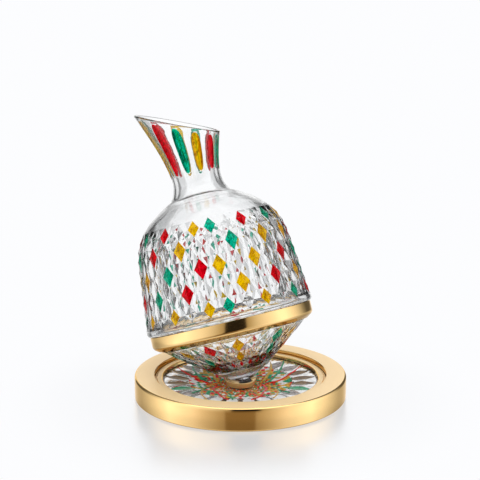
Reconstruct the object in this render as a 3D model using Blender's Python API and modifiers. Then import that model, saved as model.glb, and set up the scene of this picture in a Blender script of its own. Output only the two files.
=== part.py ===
"""A cut crystal carafe with a pointed foot, leaning in a small cup on a gilt ring base.

Metres, +Z up. The origin lies on the table, under the middle of the felt pad. The carafe
leans, spins and turns round about one point, the pivot, which is the centre of its round
nose and of every bearing shell below it.
"""

import math

import bmesh
import bpy
import numpy as np
from mathutils import Matrix, Vector

# Clearance between touching pieces, and round pins in their holes
GAP = 0.0003

# Felt pad and bottom cover
PAD_THICKNESS = 0.0016
PAD_INSET = 0.0045
COVER_THICKNESS = 0.0012
COVER_HOLE_RADIUS = 0.0090

# Screws of the bottom cover
SCREW_COUNT = 6
SCREW_RADIUS = 0.0015
SCREW_LENGTH = 0.0080
SCREW_HEAD_RADIUS = 0.0028
SCREW_HEAD_THICKNESS = 0.0010
BOSS_RADIUS = 0.0035
DRILL_SPARE = 0.0010

# Base ring: an upside-down channel with a shelf inside its opening
RING_RADIUS = 0.0900
RING_TOP_WIDTH = 0.0171
RING_FOOT_RISE = 0.0004
RING_TOP_ROUNDING = 0.0021
RING_FOOT_ROUNDING = 0.0015
RING_WALL = 0.0035
RING_ROOF = 0.0030
RING_INNER_WALL = 0.0031
SHELF_WIDTH = 0.0064
SHELF_THICKNESS = 0.0021

# Gasket, dish and bezel
GASKET_THICKNESS = 0.0008
GASKET_INSET = 0.0005
DISH_SIDE_ROOM = 0.0014
DISH_EDGE_THICKNESS = 0.0039
DISH_CENTRE_THICKNESS = 0.0028
DISH_SAG = 0.0058
DISH_FLAT_RADIUS = 0.0090
DISH_CURVE = 1.3
BEZEL_WIDTH = 0.0067
BEZEL_HEIGHT = 0.0029
BEZEL_STEP_WIDTH = 0.0018
BEZEL_STEP_DEPTH = 0.0012
BEZEL_LIP_SLOPE = 0.0009
BEZEL_LIP_ROUNDING = 0.0004
RING_REVEAL = 0.0029

# Pivot cup, its washers and its nut
STUD_RADIUS = 0.0030
STUD_END = 0.0002
NUT_ROOM = 0.0008
NUT_THICKNESS = 0.0018
NUT_ACROSS_FLATS = 0.0100
WASHER_THICKNESS = 0.0005
UPPER_WASHER_RADIUS = 0.0080
LOWER_WASHER_RADIUS = 0.0070
CUP_FLOOR = 0.0012
CUP_FOOT_RADIUS = 0.0085
CUP_RIM_WIDTH = 0.0011

# Round nose of the glass and the bearing shells under it, all centred on the pivot
NOSE_RADIUS = 0.0170
NOSE_EDGE_RADIUS = 0.0099
NOSE_PAD_THICKNESS = 0.0008
LINER_THICKNESS = 0.0008
LINER_MARGIN = math.radians(1.3)

# How the carafe stands: its lean, and the way it leans, measured from +X
LEAN = math.radians(20.0)
LEAN_AZIMUTH = math.radians(133.0)

# Outside of the glass, section by section from the nose up: heights, radii at their tops, and
# slopes (change of radius for each metre of height)
CONE_HEIGHT = 0.0374
CONE_START_SLOPE = 1.72
CONE_END_SLOPE = 1.30
BELT_HEIGHT = 0.0136
BELT_SHELF_STEP = 0.0030
RIM_ROUND_HEIGHT = 0.0027
RIM_SLOPE = -0.10
BELLY_HEIGHT = 0.0603
BELLY_TOP_RADIUS = 0.0654
BELLY_TOP_SLOPE = -0.13
SHOULDER_HEIGHT = 0.0441
THROAT_RADIUS = 0.0264
SHOULDER_END_SLOPE = -2.00
THROAT_SLOPE = -0.85
THROAT_HEIGHT = 0.0174
NECK_RADIUS = 0.0210
NECK_SLOPE = 0.10
FLARE_HEIGHT = 0.0680
LIP_RADIUS = 0.0423
LIP_SLOPE = 0.38

# Inside of the glass
GLASS_WALL = 0.0042
CAVITY_FLOOR = 0.0140
CAVITY_FLOOR_RADIUS = 0.0650

# Slanted mouth: its height at the carafe's axis above the neck's waist, its slant, and the
# way that the pouring side points
MOUTH_HEIGHT = 0.0459
MOUTH_SLANT = math.radians(24.0)
SPOUT_AZIMUTH = math.radians(-197.5)

# Cut diamonds: half columns round the glass, and half rows on the belly and on the cone
HALF_COLUMNS = 54
CUT_DEPTH = 0.0012
COLUMN_PHASE = math.radians(-79.8)
BELLY_HALF_ROWS = 10
BELLY_CUTS_START = 0.0048
BELLY_CUTS_HEIGHT = 0.0822
CONE_HALF_ROWS = 8
CONE_CUTS_START = 0.0072
CONE_CUTS_FIRST = 0.0018
CONE_CUTS_GROWTH = 1.185

# Flutes round the flaring neck
FLUTE_COUNT = 12
FLUTE_PHASE = math.radians(-72.7)
FLUTE_START = 0.0026
FLUTE_TO_RIM = 0.0045
FLUTE_DEPTH = 0.0009
FLUTE_HALF_ANGLE = math.radians(9.0)
FLUTE_CUTTER_RADIUS = 0.0080

# Belt and the strip that bonds it to the glass: the belt's outside stands out past the top
# of the cone by one overhang, and the rim of the glass above stands out past the belt by the other
BELT_RADIUS = 0.0697
BELT_OVERHANG = 0.0067
RIM_OVERHANG = 0.0021
BELT_THICKNESS = 0.0016
BELT_ROUNDING = 0.0005
BELT_BEVEL_HEIGHT = 0.0050
BELT_FOOT_WIDTH = 0.0010
BOND_THICKNESS = 0.0006
BOND_MARGIN = 0.0008

# Fineness of the turned shapes
RING_STEPS = 48
DISH_STEPS = 48
BELT_STEPS = 54
CUP_STEPS = 24
SMALL_STEPS = 12
ARC_STEPS = 4
NOSE_ARC_STEPS = 3
FOOT_ARC_STEPS = 2
SEAT_ARC_STEPS = 6
CUTTER_SEGMENTS = 24
CUTTER_RINGS = 18
DISH_TOP_RINGS = 8
DISH_UNDER_RINGS = 6
CAVITY_FLOOR_RINGS = 5
OUTLINE_SAMPLES = 60
SHARP_ANGLE = math.radians(28.0)

# Heights above the table, stacked from the pad up to the top of the ring
COVER_BASE_Z = PAD_THICKNESS + GAP
COVER_TOP_Z = COVER_BASE_Z + COVER_THICKNESS
STUD_END_Z = PAD_THICKNESS + NUT_ROOM
NUT_BASE_Z = STUD_END_Z + STUD_END
LOWER_WASHER_Z = NUT_BASE_Z + NUT_THICKNESS + GAP
DISH_BASE_Z = LOWER_WASHER_Z + WASHER_THICKNESS + GAP
DISH_TOP_Z = DISH_BASE_Z + DISH_CENTRE_THICKNESS
UPPER_WASHER_Z = DISH_TOP_Z + GAP
CUP_BASE_Z = UPPER_WASHER_Z + WASHER_THICKNESS + GAP
DISH_EDGE_TOP_Z = DISH_TOP_Z + DISH_SAG
DISH_EDGE_BASE_Z = DISH_EDGE_TOP_Z - DISH_EDGE_THICKNESS
GASKET_Z = DISH_EDGE_BASE_Z - GAP - GASKET_THICKNESS
SHELF_TOP_Z = GASKET_Z - GAP
BEZEL_BASE_Z = DISH_EDGE_TOP_Z + GAP
BEZEL_TOP_Z = BEZEL_BASE_Z + BEZEL_HEIGHT
RING_TOP_Z = BEZEL_TOP_Z + RING_REVEAL

# Bearing shells and the pivot
PAD_INNER_RADIUS = NOSE_RADIUS + GAP
PAD_OUTER_RADIUS = PAD_INNER_RADIUS + NOSE_PAD_THICKNESS
LINER_INNER_RADIUS = PAD_OUTER_RADIUS + GAP
LINER_OUTER_RADIUS = LINER_INNER_RADIUS + LINER_THICKNESS
SEAT_RADIUS = LINER_OUTER_RADIUS + GAP
PIVOT_Z = CUP_BASE_Z + CUP_FLOOR + SEAT_RADIUS

# Radii of the base
OPENING_RADIUS = RING_RADIUS - RING_TOP_WIDTH
CHANNEL_INNER_RADIUS = OPENING_RADIUS + RING_INNER_WALL
CHANNEL_OUTER_RADIUS = RING_RADIUS - RING_WALL
SHELF_RADIUS = OPENING_RADIUS - SHELF_WIDTH
SCREW_CIRCLE = (CHANNEL_INNER_RADIUS + CHANNEL_OUTER_RADIUS) / 2
DISH_RADIUS = OPENING_RADIUS - DISH_SIDE_ROOM
BEZEL_RADIUS = OPENING_RADIUS - GAP
BEZEL_INNER_RADIUS = BEZEL_RADIUS - BEZEL_WIDTH
STUD_HOLE_RADIUS = STUD_RADIUS + GAP

# Radii of the glass below and above the belt
CONE_TOP_RADIUS = BELT_RADIUS - BELT_OVERHANG
RIM_RADIUS = BELT_RADIUS + RIM_OVERHANG

# Heights along the carafe's axis, measured from the pivot
NOSE_EDGE_H = -math.sqrt(NOSE_RADIUS**2 - NOSE_EDGE_RADIUS**2)
CONE_TOP_H = NOSE_EDGE_H + CONE_HEIGHT
BELT_TOP_H = CONE_TOP_H + BELT_HEIGHT
RIM_H = BELT_TOP_H + GAP + RIM_ROUND_HEIGHT
BELLY_TOP_H = RIM_H + BELLY_HEIGHT
THROAT_H = BELLY_TOP_H + SHOULDER_HEIGHT
NECK_H = THROAT_H + THROAT_HEIGHT
GLASS_TOP_H = NECK_H + FLARE_HEIGHT
MOUTH_H = NECK_H + MOUTH_HEIGHT
BELT_INNER_RADIUS = BELT_RADIUS - BELT_THICKNESS
BOND_RADIUS = BELT_INNER_RADIUS - GAP
BELT_SEAT_RADIUS = BOND_RADIUS - BOND_THICKNESS - GAP
BELT_SEAT_H = CONE_TOP_H + (BELT_SEAT_RADIUS - CONE_TOP_RADIUS) / CONE_END_SLOPE

# Outline of the glass: height, radius, slope below and slope above
STATIONS = (
    (NOSE_EDGE_H, NOSE_EDGE_RADIUS, CONE_START_SLOPE, CONE_START_SLOPE),
    (CONE_TOP_H, CONE_TOP_RADIUS, CONE_END_SLOPE, 0.0),
    (RIM_H, RIM_RADIUS, 0.0, RIM_SLOPE),
    (BELLY_TOP_H, BELLY_TOP_RADIUS, BELLY_TOP_SLOPE, BELLY_TOP_SLOPE),
    (THROAT_H, THROAT_RADIUS, SHOULDER_END_SLOPE, THROAT_SLOPE),
    (NECK_H, NECK_RADIUS, NECK_SLOPE, NECK_SLOPE),
    (GLASS_TOP_H, LIP_RADIUS, LIP_SLOPE, LIP_SLOPE),
)

for leftover in list(bpy.data.objects):
    bpy.data.objects.remove(leftover)

PARTS = bpy.data.collections.new("crystal_carafe")
CUTTERS = bpy.data.collections.new("cutters")
bpy.context.scene.collection.children.link(PARTS)
bpy.context.scene.collection.children.link(CUTTERS)


def material(name, colour, roughness, metallic=0.0, transmission=0.0):
    """A Principled material with the piece's plain colour."""
    made = bpy.data.materials.new(name)
    made.use_nodes = True
    shader = made.node_tree.nodes["Principled BSDF"]
    shader.inputs["Base Color"].default_value = (*colour, 1.0)
    shader.inputs["Roughness"].default_value = roughness
    shader.inputs["Metallic"].default_value = metallic
    shader.inputs["Transmission Weight"].default_value = transmission
    made.diffuse_color = (*colour, 1.0)
    return made


def arc(centre, radius, start, end, steps=ARC_STEPS):
    """Points (radius, height) on an arc in a section, from one angle to the other."""
    return [
        (centre[0] + radius * math.cos(a), centre[1] + radius * math.sin(a))
        for a in np.linspace(start, end, steps + 1)
    ]


def turned_mesh(name, outline, steps, loop=True):
    """A section of points (radius, height), listed clockwise, turned once round Z.

    It is shaded smooth but for its sharp edges.
    """
    section = bpy.data.meshes.new(name + "_section")
    edges = [(i, i + 1) for i in range(len(outline) - 1)]
    if loop:
        edges.append((len(outline) - 1, 0))
    section.from_pydata([(radius, 0.0, height) for radius, height in outline], edges, [])
    guide = bpy.data.objects.new(name + "_section", section)
    PARTS.objects.link(guide)
    screw = guide.modifiers.new("Screw", "SCREW")
    screw.axis = "Z"
    screw.angle = 2 * math.pi
    screw.steps = steps
    screw.render_steps = steps
    screw.use_merge_vertices = True
    screw.merge_threshold = 0.00001
    graph = bpy.context.evaluated_depsgraph_get()
    mesh = bpy.data.meshes.new_from_object(guide.evaluated_get(graph))
    mesh.name = name
    mesh.shade_smooth()
    mesh.set_sharp_from_angle(angle=SHARP_ANGLE)
    bpy.data.objects.remove(guide)
    bpy.data.meshes.remove(section)
    return mesh


def add_part(name, mesh, look, parent=None):
    """A named piece of the assembly."""
    mesh.materials.clear()
    mesh.materials.append(look)
    piece = bpy.data.objects.new(name, mesh)
    piece.parent = parent
    PARTS.objects.link(piece)
    return piece


def turned(name, outline, look, steps, parent=None, loop=True):
    """A turned piece."""
    return add_part(name, turned_mesh(name, outline, steps, loop), look, parent)


def washer(inner, outer, base, top):
    """Outline of a flat ring."""
    return [(inner, top), (outer, top), (outer, base), (inner, base)]


def disc(radius, base, top):
    """Outline of a full disc, open along the axis."""
    return [(0.0, top), (radius, top), (radius, base), (0.0, base)]


def cut(piece, cutter, operation="DIFFERENCE"):
    """Cuts a piece with a cutter, or joins the cutter's shape to it."""
    boolean = piece.modifiers.new(cutter.name, "BOOLEAN")
    boolean.operation = operation
    boolean.solver = "EXACT"
    boolean.object = cutter


def add_cutter(name, mesh, parent=None):
    """A helper that shapes a piece and isn't one itself."""
    cutter = bpy.data.objects.new(name, mesh)
    cutter.parent = parent
    cutter.hide_render = True
    cutter.display_type = "WIRE"
    CUTTERS.objects.link(cutter)
    return cutter


def screw_places():
    """Where the cover's screws stand, evenly round the channel."""
    for i in range(SCREW_COUNT):
        angle = 2 * math.pi * (i + 0.5) / SCREW_COUNT
        yield Vector((SCREW_CIRCLE * math.cos(angle), SCREW_CIRCLE * math.sin(angle), 0.0))


def pins(name, radius, base, top):
    """One mesh of upright cylinders, one at each screw."""
    shape = bmesh.new()
    for place in screw_places():
        bmesh.ops.create_cone(
            shape,
            cap_ends=True,
            segments=SMALL_STEPS,
            radius1=radius,
            radius2=radius,
            depth=top - base,
            matrix=Matrix.Translation(place + Vector((0.0, 0.0, (base + top) / 2))),
        )
    mesh = bpy.data.meshes.new(name)
    shape.to_mesh(mesh)
    shape.free()
    return mesh


def glass_radius(height):
    """Radius of the outside of the glass at a height along its axis."""
    for low, high in zip(STATIONS, STATIONS[1:]):
        if height <= high[0]:
            break
    span = high[0] - low[0]
    t = (height - low[0]) / span
    return (
        (1 + 2 * t) * (1 - t) ** 2 * low[1]
        + t * (1 - t) ** 2 * span * low[3]
        + t * t * (3 - 2 * t) * high[1]
        - t * t * (1 - t) * span * high[2]
    )


def even_heights(low, high, count):
    """Heights that divide the glass's outline between two heights into equal lengths."""
    fine = np.linspace(low, high, OUTLINE_SAMPLES * count + 1)
    radii = np.array([glass_radius(h) for h in fine])
    along = np.concatenate([[0.0], np.cumsum(np.hypot(np.diff(fine), np.diff(radii)))])
    return np.interp(np.linspace(0.0, along[-1], count + 1), along, fine)


def rim_angle():
    """Angle at the pivot, from straight down, of the cup's inner edge.

    The leaning cone keeps the clearance to that edge, which stops it from leaning further.
    """
    heights = np.linspace(NOSE_EDGE_H, 0.0, OUTLINE_SAMPLES)
    radii = np.array([glass_radius(h) for h in heights])
    distances = np.hypot(heights, radii)
    angles = np.arctan2(radii, -heights)
    return float(np.interp(SEAT_RADIUS - GAP, distances, angles)) - LEAN


def mouth_height(azimuth):
    """Height at which the slanted mouth meets the outside of the glass."""
    height = MOUTH_H
    for _ in range(20):
        rise = math.tan(MOUTH_SLANT) * math.cos(azimuth - SPOUT_AZIMUTH)
        height = MOUTH_H + rise * glass_radius(height)
    return height


def inside_outline(heights):
    """The cavity's outline, a wall's thickness inside the outside, from the floor up."""
    points = []
    step = 0.0002
    for height in heights:
        radius = glass_radius(height)
        slope = (glass_radius(height + step) - glass_radius(height - step)) / (2 * step)
        length = math.hypot(1.0, slope)
        points.append((radius - GLASS_WALL / length, height + GLASS_WALL * slope / length))
    floor_h = -NOSE_RADIUS + CAVITY_FLOOR
    wall = [
        (radius, height)
        for radius, height in points
        if height > floor_h + cap_rise(radius)
    ]
    edge = wall[0][0]
    floor_radii = np.linspace(0.0, edge, CAVITY_FLOOR_RINGS + 1)[:-1]
    return [(r, floor_h + cap_rise(r)) for r in floor_radii] + wall


def cap_rise(radius):
    """How far the rounded floor of the cavity has risen at a radius."""
    return CAVITY_FLOOR_RADIUS - math.sqrt(max(0.0, CAVITY_FLOOR_RADIUS**2 - radius**2))


def cone_cut_heights():
    """Heights of the half rows on the cone, which grow with its width."""
    steps = CONE_CUTS_FIRST * CONE_CUTS_GROWTH ** np.arange(CONE_HALF_ROWS)
    return NOSE_EDGE_H + CONE_CUTS_START + np.concatenate([[0.0], np.cumsum(steps)])


def belly_cut_heights():
    """Heights of the half rows on the belly."""
    low = BELT_TOP_H + BELLY_CUTS_START
    return even_heights(low, low + BELLY_CUTS_HEIGHT, BELLY_HALF_ROWS)


def cut_diamonds(mesh, heights):
    """Cuts rows of diamonds: each is a low pyramid between grooves that cross at its corners."""
    shape = bmesh.new()
    shape.from_mesh(mesh)
    marks = {}
    for vertex in shape.verts:
        radius = vertex.co.xy.length
        row = int(np.argmin(np.abs(heights - vertex.co.z)))
        if abs(heights[row] - vertex.co.z) > 1e-6:
            continue
        if abs(radius - glass_radius(vertex.co.z)) < 1e-5:
            turn = math.atan2(vertex.co.y, vertex.co.x) / (2 * math.pi)
            marks[vertex] = (round(turn * HALF_COLUMNS), row)
    for face in list(shape.faces):
        corners = list(face.verts)
        if len(corners) == 4 and all(v in marks for v in corners):
            crossings = [v for v in corners if sum(marks[v]) % 2]
            facet, _ = bmesh.utils.face_split(face, crossings[0], crossings[1])
            face.smooth = False
            facet.smooth = False
    last = len(heights) - 1
    for vertex, (column, row) in marks.items():
        if (column + row) % 2 and 0 < row < last:
            vertex.co.xy *= 1 - CUT_DEPTH / vertex.co.xy.length
    shape.to_mesh(mesh)
    shape.free()


def flute_cutter(azimuth):
    """An ellipsoid that hollows one lens-shaped flute from the neck's wall."""
    low = NECK_H + FLUTE_START
    high = mouth_height(azimuth) - FLUTE_TO_RIM
    middle = (low + high) / 2
    run = high - low
    lean = math.atan2(glass_radius(high) - glass_radius(low), run)
    half_length = run / math.cos(lean) / 2
    chord_radius = (glass_radius(low) + glass_radius(high)) / 2
    wall_radius = glass_radius(middle)
    sunk = (chord_radius - wall_radius) * math.cos(lean) + FLUTE_DEPTH
    half_width = wall_radius * math.sin(FLUTE_HALF_ANGLE)
    side = FLUTE_DEPTH - wall_radius * (1 - math.cos(FLUTE_HALF_ANGLE))
    long_axis = half_length / math.sqrt(1 - (1 - sunk / FLUTE_CUTTER_RADIUS) ** 2)
    wide_axis = half_width / math.sqrt(1 - (1 - side / FLUTE_CUTTER_RADIUS) ** 2)
    shape = bmesh.new()
    bmesh.ops.create_uvsphere(
        shape, u_segments=CUTTER_SEGMENTS, v_segments=CUTTER_RINGS, radius=1.0
    )
    size = Matrix.Diagonal((FLUTE_CUTTER_RADIUS, wide_axis, long_axis, 1.0))
    away = FLUTE_CUTTER_RADIUS - sunk
    place = Matrix.Translation(
        (chord_radius + away * math.cos(lean), 0.0, middle - away * math.sin(lean))
    )
    tilt = Matrix.Rotation(lean, 4, "Y")
    turn = Matrix.Rotation(azimuth, 4, "Z")
    bmesh.ops.transform(shape, matrix=turn @ place @ tilt @ size, verts=shape.verts)
    return shape


def make_axis(name, matrix, parent=None):
    """An empty on a joint's axis, which carries the pieces that move about it."""
    empty = bpy.data.objects.new(name, None)
    empty.empty_display_size = 0.02
    empty.parent = parent
    empty.matrix_local = matrix
    PARTS.objects.link(empty)
    return empty


GILT = material("gilt", (0.78, 0.64, 0.42), 0.22, metallic=1.0)
DISH_GLASS = material("dish_glass", (0.80, 0.82, 0.82), 0.08, transmission=0.6)
CRYSTAL = material("crystal", (0.95, 0.97, 0.97), 0.03, transmission=0.9)
NYLON = material("nylon", (0.06, 0.06, 0.06), 0.45)
RUBBER = material("rubber", (0.05, 0.05, 0.05), 0.75)
ELASTIC_BOND = material("elastic_bond", (0.75, 0.74, 0.70), 0.60)
STEEL = material("zinc_steel", (0.62, 0.63, 0.65), 0.35, metallic=1.0)
PAINTED = material("painted_sheet", (0.10, 0.10, 0.11), 0.55)
FELT = material("felt", (0.06, 0.07, 0.09), 0.95)


def make_base_ring():
    """Gilt ring: a rounded channel, the shelf for the dish and the bosses for the screws."""
    top, foot = RING_TOP_Z, RING_FOOT_RISE
    rounded_top = arc(
        (RING_RADIUS - RING_TOP_ROUNDING, top - RING_TOP_ROUNDING),
        RING_TOP_ROUNDING,
        math.pi / 2,
        0.0,
    )
    rounded_foot = arc(
        (RING_RADIUS - RING_FOOT_ROUNDING, foot + RING_FOOT_ROUNDING),
        RING_FOOT_ROUNDING,
        0.0,
        -math.pi / 2,
        steps=FOOT_ARC_STEPS,
    )
    inside = [
        (CHANNEL_OUTER_RADIUS, foot),
        (CHANNEL_OUTER_RADIUS, top - RING_ROOF),
        (CHANNEL_INNER_RADIUS, top - RING_ROOF),
        (CHANNEL_INNER_RADIUS, SHELF_TOP_Z - SHELF_THICKNESS),
        (SHELF_RADIUS, SHELF_TOP_Z - SHELF_THICKNESS),
        (SHELF_RADIUS, SHELF_TOP_Z),
        (OPENING_RADIUS, SHELF_TOP_Z),
    ]
    outline = [(OPENING_RADIUS, top)] + rounded_top + rounded_foot + inside
    ring = turned("base_ring", outline, GILT, RING_STEPS)
    boss_base = COVER_TOP_Z + GAP
    bosses = pins("ring_bosses", BOSS_RADIUS, boss_base, top - RING_ROOF / 2)
    cut(ring, add_cutter("ring_bosses", bosses), "UNION")
    screw_tip = COVER_BASE_Z - GAP + SCREW_LENGTH
    drills = pins("ring_drills", SCREW_RADIUS + GAP, COVER_BASE_Z, screw_tip + DRILL_SPARE)
    cut(ring, add_cutter("ring_drills", drills))


def make_bottom_cover():
    """Sheet cover inside the ring's foot, with holes for the screws and round the nut."""
    outline = washer(COVER_HOLE_RADIUS, CHANNEL_OUTER_RADIUS - GAP, COVER_BASE_Z, COVER_TOP_Z)
    cover = turned("bottom_cover", outline, PAINTED, RING_STEPS)
    drills = pins("cover_drills", SCREW_RADIUS + GAP, 0.0, COVER_TOP_Z + COVER_THICKNESS)
    cut(cover, add_cutter("cover_drills", drills))


def make_cover_screws():
    """Pan-head screws from below, through the cover into the ring's bosses."""
    head_top = COVER_BASE_Z - GAP
    outline = [
        (0.0, head_top + SCREW_LENGTH),
        (SCREW_RADIUS, head_top + SCREW_LENGTH),
        (SCREW_RADIUS, head_top),
        (SCREW_HEAD_RADIUS, head_top),
        (SCREW_HEAD_RADIUS, head_top - SCREW_HEAD_THICKNESS),
        (0.0, head_top - SCREW_HEAD_THICKNESS),
    ]
    mesh = turned_mesh("cover_screw", outline, SMALL_STEPS, loop=False)
    for i, place in enumerate(screw_places()):
        piece = add_part(f"cover_screw_{i + 1}", mesh, STEEL)
        piece.location = place


def make_base_pad():
    """Felt pad that the base stands on."""
    radius = SCREW_CIRCLE - SCREW_HEAD_RADIUS - PAD_INSET
    turned("base_pad", disc(radius, 0.0, PAD_THICKNESS), FELT, RING_STEPS, loop=False)


def make_gasket():
    """Rubber ring between the shelf and the dish."""
    outline = washer(
        SHELF_RADIUS + GASKET_INSET,
        OPENING_RADIUS - GASKET_INSET,
        GASKET_Z,
        GASKET_Z + GASKET_THICKNESS,
    )
    turned("dish_gasket", outline, RUBBER, RING_STEPS)


def dish_rise(radius):
    """Height of the dish's hollow above its middle, flat at the cup and flat at the edge."""
    t = (radius - DISH_FLAT_RADIUS) / (BEZEL_INNER_RADIUS - DISH_FLAT_RADIUS)
    t = min(1.0, max(0.0, t))
    return DISH_SAG * math.sin(t * math.pi / 2) ** DISH_CURVE


def make_glass_dish():
    """Shallow glass dish with a hole for the cup's stud."""
    radii = np.linspace(DISH_FLAT_RADIUS, BEZEL_INNER_RADIUS, DISH_TOP_RINGS)
    top = [(r, DISH_TOP_Z + dish_rise(r)) for r in radii]
    edge = [(DISH_RADIUS, DISH_EDGE_TOP_Z), (DISH_RADIUS, DISH_EDGE_BASE_Z)]
    under_edge = SHELF_RADIUS - DISH_SIDE_ROOM
    fall = DISH_EDGE_BASE_Z - DISH_BASE_Z
    under = [
        (r, DISH_BASE_Z + fall * dish_rise(r) / DISH_SAG)
        for r in np.linspace(under_edge, DISH_FLAT_RADIUS, DISH_UNDER_RINGS)
    ]
    under[0] = (under_edge, DISH_EDGE_BASE_Z)
    hole = [(STUD_HOLE_RADIUS, DISH_BASE_Z), (STUD_HOLE_RADIUS, DISH_TOP_Z)]
    turned("glass_dish", top + edge + under + hole, DISH_GLASS, DISH_STEPS)


def make_bezel():
    """Gilt bezel with a rounded lip and a low step beside the ring."""
    step_radius = BEZEL_RADIUS - BEZEL_STEP_WIDTH
    round_off = BEZEL_LIP_ROUNDING
    outline = [
        (BEZEL_INNER_RADIUS, BEZEL_TOP_Z - BEZEL_LIP_SLOPE),
        (BEZEL_INNER_RADIUS + 3 * round_off, BEZEL_TOP_Z - round_off / 2),
        (BEZEL_INNER_RADIUS + 5 * round_off, BEZEL_TOP_Z),
        (step_radius - round_off, BEZEL_TOP_Z),
        (step_radius, BEZEL_TOP_Z - round_off),
        (step_radius, BEZEL_TOP_Z - BEZEL_STEP_DEPTH),
        (BEZEL_RADIUS, BEZEL_TOP_Z - BEZEL_STEP_DEPTH),
        (BEZEL_RADIUS, BEZEL_BASE_Z),
        (BEZEL_INNER_RADIUS, BEZEL_BASE_Z),
    ]
    turned("dish_bezel", outline, GILT, RING_STEPS)


def make_pivot_cup(axis):
    """Gilt cup with a round seat and a stud through the dish, in one piece."""
    rim = rim_angle()
    seat_low = -math.pi / 2
    seat = arc((0.0, PIVOT_Z), SEAT_RADIUS, seat_low, seat_low + rim, steps=SEAT_ARC_STEPS)
    rim_radius, rim_z = seat[-1]
    outer_radius = rim_radius + CUP_RIM_WIDTH
    reach = outer_radius - CUP_FOOT_RADIUS
    drop = rim_z - CUP_BASE_Z
    bowl = [
        (CUP_FOOT_RADIUS + reach * math.cos(a), rim_z - drop * math.sin(a))
        for a in np.linspace(0.0, math.pi / 2, SEAT_ARC_STEPS)
    ]
    stud = [(STUD_RADIUS, CUP_BASE_Z), (STUD_RADIUS, STUD_END_Z), (0.0, STUD_END_Z)]
    turned("pivot_cup", seat + bowl + stud, GILT, CUP_STEPS, axis, loop=False)


def make_cup_fixings(axis):
    """Two plastic washers that clamp the dish, and the thin nut below them."""
    upper = washer(
        STUD_HOLE_RADIUS,
        UPPER_WASHER_RADIUS,
        UPPER_WASHER_Z,
        UPPER_WASHER_Z + WASHER_THICKNESS,
    )
    turned("cup_washer_upper", upper, NYLON, CUP_STEPS)
    lower = washer(
        STUD_HOLE_RADIUS,
        LOWER_WASHER_RADIUS,
        LOWER_WASHER_Z,
        LOWER_WASHER_Z + WASHER_THICKNESS,
    )
    turned("cup_washer_lower", lower, NYLON, CUP_STEPS)
    corner = NUT_ACROSS_FLATS / 2 / math.cos(math.pi / 6)
    nut_mesh = turned_mesh(
        "cup_nut", disc(corner, NUT_BASE_Z, NUT_BASE_Z + NUT_THICKNESS), 6, loop=False
    )
    nut = add_part("cup_nut", nut_mesh, STEEL, axis)
    shape = bmesh.new()
    bmesh.ops.create_cone(
        shape,
        cap_ends=True,
        segments=CUP_STEPS,
        radius1=STUD_HOLE_RADIUS,
        radius2=STUD_HOLE_RADIUS,
        depth=3 * NUT_THICKNESS,
        matrix=Matrix.Translation((0.0, 0.0, NUT_BASE_Z + NUT_THICKNESS / 2)),
    )
    bore = bpy.data.meshes.new("nut_bore")
    shape.to_mesh(bore)
    shape.free()
    cut(nut, add_cutter("nut_bore", bore, axis))


def make_shell(name, inner, outer, axis):
    """A thin round bearing shell under the nose, narrow enough to stay inside the cup."""
    half_angle = rim_angle() - LEAN - LINER_MARGIN
    down = -math.pi / 2
    inside = arc((0.0, 0.0), inner, down, down + half_angle)
    outside = arc((0.0, 0.0), outer, down + half_angle, down)
    turned(name, inside + outside, NYLON, CUP_STEPS, axis, loop=False)


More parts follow.
